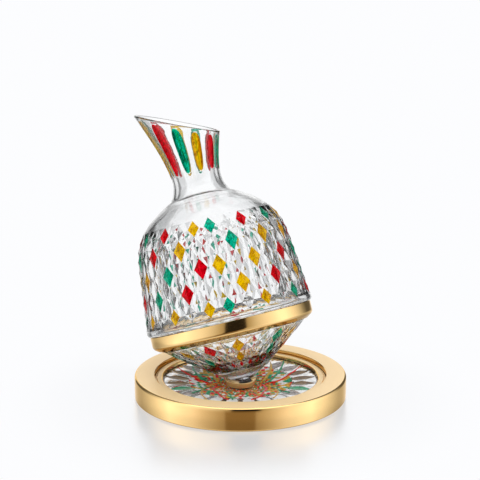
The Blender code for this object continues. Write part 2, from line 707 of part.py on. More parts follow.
def make_glass(axis):
    """The carafe: nose, cut cone, seat of the belt, cut belly, shoulder and fluted neck."""
    cone_cuts = cone_cut_heights()
    belly_cuts = belly_cut_heights()
    nose_angle = math.asin(NOSE_EDGE_RADIUS / NOSE_RADIUS)
    down = -math.pi / 2
    nose = arc((0.0, 0.0), NOSE_RADIUS, down, down + nose_angle, steps=NOSE_ARC_STEPS)
    below_cuts = (NOSE_EDGE_H + cone_cuts[0]) / 2
    outline = nose + [(glass_radius(h), h) for h in [below_cuts, *cone_cuts, CONE_TOP_H]]
    outline += [
        (BELT_SEAT_RADIUS, BELT_SEAT_H),
        (BELT_SEAT_RADIUS, BELT_TOP_H + GAP),
        (BELT_SEAT_RADIUS + BELT_SHELF_STEP, BELT_TOP_H + GAP),
        (RIM_RADIUS, RIM_H),
    ]
    shoulder_top = even_heights(belly_cuts[-1], THROAT_H, 3)[1:]
    neck = even_heights(THROAT_H, NECK_H, 2)[1:]
    flare = even_heights(NECK_H, GLASS_TOP_H, 6)[1:]
    plain = [*shoulder_top, *neck, *flare]
    outline += [(glass_radius(h), h) for h in [*belly_cuts, *plain]]
    cavity_heights = np.concatenate(
        [
            even_heights(NOSE_EDGE_H + CONE_HEIGHT / 4, CONE_TOP_H, 4),
            even_heights(RIM_H, BELLY_TOP_H, 3),
            even_heights(BELLY_TOP_H, THROAT_H, 6)[1:-1],
            even_heights(THROAT_H, NECK_H, 2),
            even_heights(NECK_H, GLASS_TOP_H, 4)[1:-1],
        ]
    )
    cavity = inside_outline(cavity_heights)
    cavity.append((LIP_RADIUS - GLASS_WALL, GLASS_TOP_H))
    mesh = turned_mesh("carafe_glass", cavity + outline[::-1], HALF_COLUMNS, loop=False)
    cut_diamonds(mesh, cone_cuts)
    cut_diamonds(mesh, belly_cuts)
    mesh.transform(Matrix.Rotation(COLUMN_PHASE, 4, "Z"))
    glass = add_part("carafe_glass", mesh, CRYSTAL, axis)
    for i in range(FLUTE_COUNT):
        flute = flute_cutter(FLUTE_PHASE + 2 * math.pi * i / FLUTE_COUNT)
        flute_mesh = bpy.data.meshes.new(f"neck_flute_{i + 1}")
        flute.to_mesh(flute_mesh)
        flute.free()
        cut(glass, add_cutter(f"neck_flute_{i + 1}", flute_mesh, axis))
    reach = 3 * LIP_RADIUS
    shape = bmesh.new()
    bmesh.ops.create_cube(shape, size=2 * reach)
    block = bpy.data.meshes.new("mouth_block")
    shape.to_mesh(block)
    shape.free()
    block.transform(
        Matrix.Translation((0.0, 0.0, MOUTH_H))
        @ Matrix.Rotation(SPOUT_AZIMUTH, 4, "Z")
        @ Matrix.Rotation(-MOUTH_SLANT, 4, "Y")
        @ Matrix.Translation((0.0, 0.0, reach))
    )
    cut(glass, add_cutter("mouth_block", block, axis))


def make_belt(axis):
    """Gilt belt with a bevelled underside that follows the cone."""
    top, foot = BELT_TOP_H, CONE_TOP_H
    cone_gap = GAP * math.hypot(1.0, CONE_END_SLOPE)
    foot_radius = CONE_TOP_RADIUS + cone_gap
    seat_start = foot + (BELT_INNER_RADIUS - foot_radius) / CONE_END_SLOPE
    outline = [
        (BELT_INNER_RADIUS, top),
        (BELT_RADIUS - BELT_ROUNDING, top),
        (BELT_RADIUS, top - BELT_ROUNDING),
        (BELT_RADIUS, foot + BELT_BEVEL_HEIGHT),
        (BELT_RADIUS - BELT_ROUNDING, foot + BELT_BEVEL_HEIGHT - 2 * BELT_ROUNDING),
        (foot_radius + BELT_FOOT_WIDTH, foot),
        (foot_radius, foot),
        (BELT_INNER_RADIUS, seat_start),
    ]
    turned("carafe_belt", outline, GILT, BELT_STEPS, axis)
    bond = washer(
        BOND_RADIUS - BOND_THICKNESS,
        BOND_RADIUS,
        seat_start + BOND_MARGIN,
        top - BOND_MARGIN,
    )
    turned("belt_bond", bond, ELASTIC_BOND, BELT_STEPS, axis)


make_base_ring()
make_bottom_cover()
make_cover_screws()
make_base_pad()
make_gasket()
make_glass_dish()
make_bezel()

pivot = Matrix.Translation((0.0, 0.0, PIVOT_Z))
lean_hinge = Vector((-math.sin(LEAN_AZIMUTH), math.cos(LEAN_AZIMUTH), 0.0))
leaning = Matrix.Rotation(LEAN, 4, lean_hinge)
cup_axis = make_axis("cup_axis", Matrix.Identity(4))
lean_axis = make_axis("lean_axis", pivot @ leaning, cup_axis)
spin_axis = make_axis("spin_axis", Matrix.Identity(4), lean_axis)

make_pivot_cup(cup_axis)
make_cup_fixings(cup_axis)
make_shell("cup_liner", LINER_INNER_RADIUS, LINER_OUTER_RADIUS, lean_axis)
make_shell("nose_pad", PAD_INNER_RADIUS, PAD_OUTER_RADIUS, spin_axis)
make_glass(spin_axis)
make_belt(spin_axis)
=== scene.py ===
"""Looks of the crystal carafe on its gilt ring base: cut and enamelled glass, pale gilt metal.

Metres, +Z up, in the same frame as the CAD model. The camera looks along +Y.
"""

import math

import bmesh
import bpy
import numpy as np
from mathutils import Matrix, Vector


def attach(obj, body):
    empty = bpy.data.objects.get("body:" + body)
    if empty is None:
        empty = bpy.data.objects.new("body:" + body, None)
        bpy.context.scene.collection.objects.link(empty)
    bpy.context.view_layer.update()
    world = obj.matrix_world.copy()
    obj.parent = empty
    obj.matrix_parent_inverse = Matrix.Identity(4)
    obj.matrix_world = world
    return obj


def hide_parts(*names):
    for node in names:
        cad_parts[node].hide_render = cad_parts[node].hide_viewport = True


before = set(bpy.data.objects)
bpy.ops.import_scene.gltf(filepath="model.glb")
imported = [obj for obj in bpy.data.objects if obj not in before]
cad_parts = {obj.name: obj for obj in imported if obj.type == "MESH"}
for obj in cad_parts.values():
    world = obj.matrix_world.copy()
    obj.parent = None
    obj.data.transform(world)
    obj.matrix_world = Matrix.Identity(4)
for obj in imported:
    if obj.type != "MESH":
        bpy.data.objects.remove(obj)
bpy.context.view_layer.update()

# Where the carafe stands: its pivot, its lean and the way it leans, measured from +X
PIVOT_Z = 0.0301
LEAN = math.radians(20.0)
LEAN_AZIMUTH = math.radians(133.0)
LEAN_HINGE = Vector((-math.sin(LEAN_AZIMUTH), math.cos(LEAN_AZIMUTH), 0.0))
CARAFE = Matrix.Translation((0.0, 0.0, PIVOT_Z)) @ Matrix.Rotation(LEAN, 4, LEAN_HINGE)
BASE = Matrix.Identity(4)

# Outline of the glass along its axis, from the pivot: height, radius, slope below, slope above
STATIONS = (
    (-0.01382, 0.0099, 1.72, 1.72),
    (0.02358, 0.0630, 1.30, 0.0),
    (0.04018, 0.0718, 0.0, -0.10),
    (0.10048, 0.0654, -0.13, -0.13),
    (0.14458, 0.0264, -2.00, -0.85),
    (0.16198, 0.0210, 0.10, 0.10),
    (0.22998, 0.0423, 0.38, 0.38),
)

# Heights and radii on that outline, then the walls and the hollow inside it
NOSE_EDGE_H, CONE_TOP_H, RIM_H, BELLY_TOP_H, THROAT_H, NECK_H, GLASS_TOP_H = (
    station[0] for station in STATIONS
)
NOSE_EDGE_RADIUS, CONE_TOP_RADIUS, RIM_RADIUS = (station[1] for station in STATIONS[:3])
NOSE_RADIUS = 0.0170
BELT_SEAT_RADIUS = 0.0669
BELT_SEAT_H = 0.0266
BELT_SHELF_H = 0.0375
RIM_START_RADIUS = 0.0699
BELLY_FOOT_H = 0.0418
NECK_PLAIN_TOP_H = 0.1630
GLASS_WALL = 0.0042
LIP_WALL = 0.0022
CAVITY_FLOOR_H = -0.0030
CAVITY_FLOOR_RADIUS = 0.0650
CAVITY_FLOOR_REACH = 0.0300
SLOPE_STEP = 0.0002

# Slanted mouth: height at the axis, slant, and the way that the pouring side points
MOUTH_H = 0.2077
MOUTH_SLANT = math.radians(24.0)
SPOUT_AZIMUTH = math.radians(-197.5)

# Cut diamonds round the glass, in columns; each row: middle height, top height, half width in
# degrees, depth of the cut
COLUMNS = 27
COLUMN_PHASE = math.radians(-86.1)
BELLY_BASE_H = 0.0428
BELLY_ROWS = (
    (0.0497, 0.0568, 4.1, 0.0014),
    (0.0662, 0.0744, 4.8, 0.0016),
    (0.0838, 0.0922, 5.0, 0.0016),
    (0.1018, 0.1098, 4.9, 0.0016),
    (0.1166, 0.1232, 4.7, 0.0014),
)
CONE_BASE_H = -0.0066
CONE_ROWS = (
    (-0.0047, -0.0025, 5.4, 0.0004),
    (-0.0003, 0.0020, 3.4, 0.0006),
    (0.0060, 0.0110, 5.4, 0.0010),
    (0.0159, 0.0220, 6.0, 0.0014),
)

# Shares of that depth: beside a diamond, between the columns, and where the rows begin and end
CUT_SIDE_SHARE = 0.85
CUT_SEAM_SHARE = 0.2
CUT_END_SHARE = 1 / 3

# Flutes round the flaring neck
FLUTE_COUNT = 12
FLUTE_PHASE = math.radians(-72.7)
FLUTE_START_H = 0.1640
FLUTE_TO_RIM = 0.0040
FLUTE_DEPTH = 0.0011
FLUTE_HALF_ANGLE = math.radians(9.0)
FLUTE_TIP_ANGLE = math.radians(0.6)
FLUTE_END_POWER = 2.8
FLUTE_SIDE_POWER = 2.2
FLUTE_FIRST_ROW = 0.12
LIP_ROWS = (0.35, 0.75)

# The flute's first, middle and last vertex in the row of vertices across its sector
FLUTE_FIRST = 3
FLUTE_MIDDLE = 7
FLUTE_LAST = 11

# Enamels in order round the glass, from the column or flute nearest the camera: r red, g green,
# a amber, a dot for clear
BELLY_ENAMELS = (
    "g.a.g.r.g.a.r.a.g.r.g.a.a.a",
    ".a.r.a.g.r.a.r.g.a.g.r.g.r.",
    "a.a.r.g.a.r.g.g.a.r.a.a.g.r",
    ".g.a.a.r.g.a.r.g.r.a.g.r.a.",
    "g.r.g.a.r.a.g.r.g.a.r.g.r.a",
)
CONE_ENAMELS = (
    "...........................",
    "rrrr.r.r..r.r.r..r.r.r..r.r",
    "a..g..r..g..a..g..r..g..g..",
    "a..g.a.r.a.g.r.a.g.r.g.a.r.",
)
FLUTE_ENAMELS = "argargargarg"
ENAMEL_SLOTS = {".": 0, "r": 1, "g": 2, "a": 3}
# Slot of the solid tip's faces, whose crystal is tinted dark grey as painted shade
SHADED_TIP_SLOT = 4

# Cut dish
DISH_RADIUS = 0.0715
DISH_HOLE_RADIUS = 0.0033
DISH_FLAT_RADIUS = 0.0090
DISH_SIGHT_RADIUS = 0.0659
DISH_TOP_Z = 0.0083
DISH_BASE_Z = 0.0055
DISH_EDGE_TOP_Z = 0.0141
DISH_EDGE_BASE_Z = 0.0102
DISH_SAG = 0.0058
DISH_CURVE = 1.3
DISH_NET_COLUMNS = 52
NET_START_RADIUS = 0.0105
NET_END_RADIUS = 0.0440
NET_ROWS = 10
NET_DEPTH = 0.0006
DENSE_RADIUS = 0.0290
PETALS = 24
PETAL_DEPTH = 0.0006

# Looks on the dish: letters as on the glass, b bronze, s smoke, a dot for pearl
DISH_SLOTS = {".": 6, "r": 2, "g": 3, "a": 4, "b": 5, "s": 7}
SILVER_SLOT = 1
DENSE_NET = "ragrgaragrga."
THIN_NET = "ra.g.ar.gaag."

# Painted leaves between the petals: radius and half width in degrees; then the leaves' colours
# in order from half a pitch past +X
LEAF_SHAPE = (
    (0.0440, 2.2),
    (0.0470, 4.4),
    (0.0505, 5.4),
    (0.0540, 5.0),
    (0.0575, 3.9),
    (0.0615, 2.0),
    (0.0635, 0.3),
)
LEAF_LAST_RADIUS = 0.0645
LEAF_DIP = 0.4
LEAVES = "bbssssssssbbbgs......sgb"

# A petal's section: share of its width and dip
PETAL_SHAPE = (
    (0.00, 0.9),
    (0.12, 0.3),
    (0.28, 0.6),
    (0.45, 0.0),
    (0.60, 0.5),
    (0.80, 0.1),
    (1.00, 0.9),
)

# Painted lines over the net and the petals: colour, half width, radii and azimuths in degrees
ARMS = (
    ("r", 0.0011, (0.015, 0.022, 0.033, 0.046, 0.064), (-20, 5, 9, 23, 35)),
    ("r", 0.0011, (0.015, 0.026, 0.035, 0.043, 0.054, 0.064), (200, 179, 171, 163, 155, 149)),
    ("g", 0.0014, (0.020, 0.028, 0.034, 0.048, 0.063), (5, 20, 30, 43, 53)),
    ("g", 0.0014, (0.020, 0.030, 0.042, 0.058), (190, 168, 153, 136)),
    ("a", 0.0014, (0.018, 0.030, 0.043, 0.057), (20, 41, 52, 63)),
    ("a", 0.0012, (0.018, 0.030, 0.043, 0.057), (160, 139, 128, 117)),
    ("r", 0.0013, (0.020, 0.026, 0.032, 0.050), (-170, -152, -124, -101)),
    ("r", 0.0013, (0.018, 0.021, 0.030, 0.050), (10, -14, -51, -80)),
    ("g", 0.0013, (0.028, 0.041, 0.052), (-158, -145, -141)),
    ("g", 0.0013, (0.028, 0.041, 0.052), (-22, -35, -38)),
    ("a", 0.0012, (0.022, 0.031, 0.056), (-178, -158, -119)),
    ("a", 0.0012, (0.022, 0.030, 0.053), (-2, -22, -60)),
    ("g", 0.0011, (0.035, 0.042, 0.051), (-108, -99, -97)),
    ("r", 0.0010, (0.016, 0.0155, 0.016), (-110, -93, -76)),
)
ARM_STEPS = 24
ARM_RISE = 0.0004
ARM_REACH = 0.02
ARM_TAPER_START = 0.12
ARM_TAPER_SPAN = 0.85
ARM_TAPER_POWER = 0.6

# Base ring, bezel, belt and cup, turned finely: radii and heights of their sections
TURN_STEPS = 240
RING_RADIUS = 0.0900
RING_TOP_Z = 0.0202
RING_FOOT_Z = 0.0004
RING_TOP_ROUNDING = 0.0021
RING_FOOT_ROUNDING = 0.0015
RING_CROWN = 0.00012
OPENING_RADIUS = 0.0729
OPENING_CHAMFER = 0.0003
CHANNEL_OUTER_RADIUS = 0.0865
CHANNEL_INNER_RADIUS = 0.0760
CHANNEL_TOP_Z = 0.0172
SHELF_RADIUS = 0.0665
SHELF_TOP_Z = 0.0088
SHELF_BASE_Z = 0.0067
BEZEL_RADIUS = 0.0726
BEZEL_STEP_RADIUS = 0.0708
BEZEL_INNER_RADIUS = 0.0659
BEZEL_TOP_Z = 0.0173
BEZEL_STEP_Z = 0.0161
BEZEL_BASE_Z = 0.0144
BEZEL_LIP_Z = 0.0164
BEZEL_LIP_WIDTH = 0.0020
BEZEL_CORNER = 0.0004
BELT_RADIUS = 0.0697
BELT_INNER_RADIUS = 0.0681
BELT_TOP_H = 0.03718
BELT_BEVEL_H = 0.02858
BELT_FOOT_H = 0.02358
BELT_FOOT_OUTER_RADIUS = 0.0645
BELT_FOOT_INNER_RADIUS = 0.0635
BELT_SEAT_START_H = 0.02713
BELT_ROUNDING = 0.0006
BELT_CORNER = 0.0045
BELT_FACE_DROP = 0.0015
CUP_BASE_Z = 0.0094
CUP_SEAT_RADIUS = 0.0195
CUP_FOOT_RADIUS = 0.0100
CUP_RIM_WIDTH = 0.0011
CUP_FULLNESS = 0.60
CUP_RIM_ANGLE = math.radians(38.1)
CUP_LIP_START = math.pi * 0.9
CUP_BOWL_END = math.pi / 2 - 0.001
STUD_RADIUS = 0.0030
STUD_END_Z = 0.0028
SHARP_ANGLE = math.radians(25.0)

# Gilt plating: its two tints, its glint, painted shade for faces that look down, painted light for
# faces that look up, and the slopes from which they do
GILT_DARK = (0.845, 0.580, 0.255)
GILT_LIGHT = (0.875, 0.610, 0.275)
GILT_GLINT = (0.96, 0.84, 0.66)
GILT_PAINTED_SHADE = (0.46, 0.29, 0.11)
# Painted light: the paler gold that upward faces such as the ring's top get
GILT_PAINTED_LIGHT = (0.95, 0.71, 0.39)
DOWNWARD = -0.4
UPWARD = 0.97
RING_SATIN = 0.26
RING_BLOOM = 0.85
# The cup's downward faces get painted light in place of painted shade, and the cup less metal
CUP_PAINTED_LIGHT = (0.98, 0.72, 0.36)
CUP_PLATING = 0.6

# Least and greatest roughness of the polished metals
GILT_POLISH = (0.09, 0.13)
SILVER_POLISH = (0.08, 0.20)

# Floor: a matt colour with a sheen, and pale paper that covers it, by FLOOR_GLOW at the object and
# wholly past the second distance from the axis; behind the axis it does so by FLOOR_BACK_GLOW
FLOOR_SIDE = 12.0
FLOOR_Z = -0.0002
FLOOR_MATT = (0.90, 0.90, 0.91)
FLOOR_GLOSS = (0.87, 0.88, 0.90)
FLOOR_ROUGHNESS = 0.28
FLOOR_SHEEN = 0.88
FLOOR_PAPER = (0.975, 0.980, 0.995)
FLOOR_FADE = (0.120, 0.205)
FLOOR_GLOW = 0.58
FLOOR_BACK_FADE = (0.0, 0.110)
FLOOR_BACK_GLOW = 0.88

# Camera
CAMERA_PLACE = (-0.00033, -1.21381, 0.42913)
CAMERA_PITCH = math.radians(76.43)
CAMERA_LENS = 112.5
CAMERA_SENSOR = 36.0


def new_object(name, data):
    """A new object in the scene."""
    made = bpy.data.objects.new(name, data)
    bpy.context.scene.collection.objects.link(made)
    return made


def new_material(name):
    """An empty node material and its tree."""
    material = bpy.data.materials.new(name)
    material.use_nodes = True
    material.node_tree.nodes.clear()
    return material, material.node_tree


def rgba(colour):
    """A colour with full alpha, from three numbers, or from one for a grey."""
    return (*colour, 1.0) if isinstance(colour, tuple) else (colour, colour, colour, 1.0)


def link(tree, source, target):
    """Gives an input socket an output socket, a colour or a number."""
    if isinstance(source, bpy.types.NodeSocket):
        tree.links.new(source, target)
    else:
        target.default_value = rgba(source) if target.type == "RGBA" else source


def add_node(tree, kind, values=None):
    """A new shader node, with values for some of its inputs."""
    node = tree.nodes.new("ShaderNode" + kind)
    for name, value in (values or {}).items():
        link(tree, value, node.inputs[name])
    return node


def graded(tree, value, stops):
    """The colour that a ramp with (position, colour) stops gives a value."""
    node = add_node(tree, "ValToRGB", {"Fac": value})
    elements = node.color_ramp.elements
    while len(elements) < len(stops):
        elements.new(0.5)
    for element, (position, colour) in zip(elements, stops):
        element.position = position
        element.color = rgba(colour)
    return node.outputs["Color"]


def maths(tree, operation, *values):
    """A Math node's output for sockets or numbers."""
    node = add_node(tree, "Math")
    node.operation = operation
    for socket, value in zip(node.inputs, values):
        link(tree, value, socket)
    return node.outputs[0]


def mix(tree, share, first, second, mode="MIX"):
    """A Mix node's output for two colours."""
    node = add_node(tree, "Mix", {"Factor": share})
    node.data_type = "RGBA"
    node.blend_type = mode
    colours = [socket for socket in node.inputs if socket.type == "RGBA"]
    link(tree, first, colours[0])
    link(tree, second, colours[1])
    return next(socket for socket in node.outputs if socket.type == "RGBA")


def mix_shaders(tree, share, first, second):
    """A Mix Shader node's output for two shaders."""
    node = add_node(tree, "MixShader")
    for socket, value in zip(node.inputs, (share, first, second)):
        link(tree, value, socket)
    return node.outputs["Shader"]


def axes(tree, vector):
    """The X, Y and Z of a vector."""
    return tuple(add_node(tree, "SeparateXYZ", {"Vector": vector}).outputs)


def noise(tree, scale, detail=2.0, roughness=0.5, stretch=(1.0, 1.0, 1.0)):
    """Noise in the object's own coordinates, in cycles for each metre."""
    place = add_node(tree, "TexCoord").outputs["Object"]
    stretched = add_node(tree, "Mapping", {"Vector": place, "Scale": stretch}).outputs["Vector"]
    values = {"Vector": stretched, "Scale": scale, "Detail": detail, "Roughness": roughness}
    return add_node(tree, "TexNoise", values).outputs["Fac"]


def bump(tree, height, distance, strength):
    """The normal that a Bump node gives for a height."""
    values = {"Height": height, "Distance": distance, "Strength": strength}
    return add_node(tree, "Bump", values).outputs["Normal"]


def spread(tree, value, low, high, start=0.0, end=1.0, interpolation="LINEAR"):
    """A value between start and end, mapped onto low and high."""
    values = {"Value": value, "From Min": start, "From Max": end, "To Min": low, "To Max": high}
    node = add_node(tree, "MapRange", values)
    node.interpolation_type = interpolation
    return node.outputs["Result"]


def principled(tree, values):
    """A Principled shader with these values, joined to the material's output."""
    shader = add_node(tree, "BsdfPrincipled", values)
    add_node(tree, "OutputMaterial", {"Surface": shader.outputs["BSDF"]})
    return shader


def mottle(tree, shader, cloud, start, dark, end, light):
    """Gives a shader a base colour that changes with a noise."""
    tint = graded(tree, cloud, ((start, dark), (end, light)))
    link(tree, tint, shader.inputs["Base Color"])


def gilt_material(name, satin=0.0, bloom=0.0, below=GILT_PAINTED_SHADE, plating=1.0):
    """Polished pale gold plating with fine turning marks. Downward faces get painted shade unless
    another colour is given; upward faces get painted light and can be satin and less metallic.
    """
    material, tree = new_material(name)
    shader = principled(tree, {"Specular Tint": GILT_GLINT, "Metallic": plating})
    cloud = noise(tree, scale=60.0, detail=3.0)
    tint = graded(tree, cloud, ((0.3, GILT_DARK), (0.7, GILT_LIGHT)))
    slope = axes(tree, add_node(tree, "NewGeometry").outputs["Normal"])[2]
    down = maths(tree, "LESS_THAN", slope, DOWNWARD)
    up = maths(tree, "GREATER_THAN", slope, UPWARD)
    # Faces that look down take the below colour: painted shade, and painted light on the cup;
    # faces that look up take painted light
    colour = mix(tree, up, mix(tree, down, tint, below), GILT_PAINTED_LIGHT)
    link(tree, colour, shader.inputs["Base Color"])
    if bloom:
        link(tree, spread(tree, up, plating, plating - bloom), shader.inputs["Metallic"])
    polish = spread(tree, noise(tree, scale=900.0), *GILT_POLISH)
    rough = maths(tree, "ADD", polish, maths(tree, "MULTIPLY", up, satin))
    link(tree, rough, shader.inputs["Roughness"])
    marks = noise(tree, scale=700.0, stretch=(0.05, 0.05, 4.0))
    normal = bump(tree, marks, distance=0.00001, strength=0.25)
    link(tree, normal, shader.inputs["Normal"])
    return material


def crystal_material(name, tint, haze=0.0):
    """Lead crystal with the faint waviness of fire polish."""
    material, tree = new_material(name)
    values = {"Base Color": tint, "Roughness": haze, "IOR": 1.54, "Transmission Weight": 1.0}
    shader = principled(tree, values)
    normal = bump(tree, noise(tree, scale=110.0), distance=0.0004, strength=0.28)
    link(tree, normal, shader.inputs["Normal"])
    return material


def enamel_material(name, dark, light, sheen):
    """Brushed translucent enamel on a cut, darker where it lies thick."""
    material, tree = new_material(name)
    values = {
        "Roughness": 0.06,
        "IOR": 1.52,
        "Specular IOR Level": 0.45,
        "Specular Tint": sheen,
        "Transmission Weight": 0.6,
    }
    shader = principled(tree, values)
    cloud = noise(tree, scale=420.0, detail=3.0, roughness=0.6, stretch=(1.0, 1.0, 0.5))
    mottle(tree, shader, cloud, 0.38, dark, 0.56, light)
    link(tree, bump(tree, cloud, distance=0.0005, strength=0.6), shader.inputs["Normal"])
    return material


def mirror_material():
    """Silvered facets under the dish, a little clouded."""
    material, tree = new_material("silvered_cuts")
    shader = principled(tree, {"Metallic": 1.0})
    cloud = noise(tree, scale=200.0, detail=3.0)
    mottle(tree, shader, cloud, 0.3, 0.55, 0.7, 0.95)
    link(tree, spread(tree, cloud, *SILVER_POLISH), shader.inputs["Roughness"])
    return material


def paint_material(name, dark, light):
    """Opaque paint on the dish's underside, seen through the glass."""
    material, tree = new_material(name)
    shader = principled(tree, {"Specular IOR Level": 0.25, "Roughness": 0.28})
    mottle(tree, shader, noise(tree, scale=500.0, detail=3.0), 0.35, dark, 0.65, light)
    return material


def plain_material(name, low, high, scale, roughness, depth, metallic=0.0, stretch=(1, 1, 1)):
    """A small part's surface: mottled colour, grain in its roughness and its relief."""
    material, tree = new_material(name)
    shader = principled(tree, {"Metallic": metallic})
    grain = noise(tree, scale, detail=4.0, roughness=0.6, stretch=stretch)
    mottle(tree, shader, grain, 0.3, low, 0.7, high)
    link(tree, spread(tree, grain, *roughness), shader.inputs["Roughness"])
    link(tree, bump(tree, grain, depth, strength=0.6), shader.inputs["Normal"])
    return material


GILT = gilt_material("gilt")
GILT_RING = gilt_material("gilt_ring", RING_SATIN, RING_BLOOM)
# The cup's bowl gets painted light on its faces that look down
GILT_CUP = gilt_material("gilt_cup", below=CUP_PAINTED_LIGHT, plating=CUP_PLATING)
CRYSTAL = crystal_material("crystal", (0.972, 0.980, 0.988))
# Painted shade: the solid tip's crystal is tinted dark grey, with a little haze
PAINTED_SHADE_TIP = crystal_material("crystal_painted_shade_tip", (0.46, 0.47, 0.54), 0.08)
RED = enamel_material("enamel_red", (0.30, 0.0, 0.0), (0.82, 0.0, 0.0005), (0.60, 0.02, 0.03))
GREEN = enamel_material("enamel_green", (0.0, 0.10, 0.045), (0.0, 0.42, 0.20), (0.05, 0.60, 0.35))
AMBER = enamel_material("enamel_amber", (0.42, 0.14, 0.0), (0.92, 0.46, 0.0), (0.80, 0.50, 0.10))

# Silver and paints under the dish, with their darkest and lightest colour
SILVERED = mirror_material()
PEARL = paint_material("dish_pearl", (0.80, 0.81, 0.82), (0.96, 0.97, 0.97))
DISH_RED = paint_material("dish_red", (0.55, 0.0, 0.001), (1.00, 0.001, 0.002))
DISH_GREEN = paint_material("dish_green", (0.002, 0.14, 0.06), (0.010, 0.50, 0.23))
DISH_AMBER = paint_material("dish_amber", (0.45, 0.22, 0.01), (0.85, 0.54, 0.07))
DISH_BRONZE = paint_material("dish_bronze", (0.040, 0.018, 0.002), (0.25, 0.125, 0.015))
DISH_SMOKE = paint_material("dish_smoke", (0.12, 0.10, 0.10), (0.55, 0.50, 0.50))

# Small parts: darkest and lightest colour, scale of the grain, its roughness and its depth
NYLON = plain_material("nylon", 0.015, 0.025, 400.0, (0.38, 0.5), 0.00002)
RUBBER = plain_material("rubber", 0.012, 0.022, 700.0, (0.65, 0.85), 0.00003)
BOND = plain_material("elastic_bond", 0.80, 0.86, 500.0, (0.4, 0.6), 0.00003)
STEEL = plain_material("zinc_steel", 0.42, 0.55, 800.0, (0.22, 0.40), 0.00002, 1.0, (1, 1, 0.2))
PAINTED = plain_material("painted_sheet", 0.014, 0.022, 900.0, (0.4, 0.55), 0.00003)
FELT = plain_material(
    "felt", (0.012, 0.014, 0.02), (0.03, 0.034, 0.045), 1800.0, (0.9, 1.0), 0.0002
)

CAD_LOOKS = {
    "dish_gasket": RUBBER,
    "belt_bond": BOND,
    "bottom_cover": PAINTED,
    "base_pad": FELT,
    "cup_washer_upper": NYLON,
    "cup_washer_lower": NYLON,
    "cup_liner": NYLON,
    "nose_pad": NYLON,
    "cup_nut": STEEL,
}


def dress_cad_nodes():
    """Gives each carried-over CAD node its material."""
    for name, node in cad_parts.items():
        look = CAD_LOOKS.get(name, STEEL if name.startswith("cover_screw") else None)
        if look is None:
            continue
        for material_slot in node.material_slots:
            material_slot.link = "OBJECT"
            material_slot.material = look


def glass_radius(height):
    """Radius of the outside of the glass at a height along its axis."""
    for low, high in zip(STATIONS, STATIONS[1:]):
        if height <= high[0]:
            break
    span = high[0] - low[0]
    t = (height - low[0]) / span
    return (
        (1 + 2 * t) * (1 - t) ** 2 * low[1]
        + t * (1 - t) ** 2 * span * low[3]
        + t * t * (3 - 2 * t) * high[1]
        - t * t * (1 - t) * span * high[2]
    )


def mouth_height(azimuth, radius_in=0.0):
    """Height at which the slanted mouth meets a wall that lies radius_in inside the outside."""
    height = MOUTH_H
    for _ in range(20):
        rise = math.tan(MOUTH_SLANT) * math.cos(azimuth - SPOUT_AZIMUTH)
        height = MOUTH_H + rise * (glass_radius(height) - radius_in)
    return height


def wall_at(height):
    """Wall thickness at a height: it thins from the throat to the lip."""
    t = min(1.0, max(0.0, (height - THROAT_H) / (GLASS_TOP_H - THROAT_H)))
    return GLASS_WALL + (LIP_WALL - GLASS_WALL) * t


def inner_point(height):
    """Radius and height of the cavity's wall, across the wall from a height outside."""
    rise = glass_radius(height + SLOPE_STEP) - glass_radius(height - SLOPE_STEP)
    slope = rise / (2 * SLOPE_STEP)
    length = math.hypot(1.0, slope)
    wall = wall_at(height)
    return glass_radius(height) - wall / length, height + wall * slope / length


def cap_rise(radius):
    """How far the rounded floor of the cavity has risen at a radius."""
    return CAVITY_FLOOR_RADIUS - math.sqrt(CAVITY_FLOOR_RADIUS**2 - radius**2)


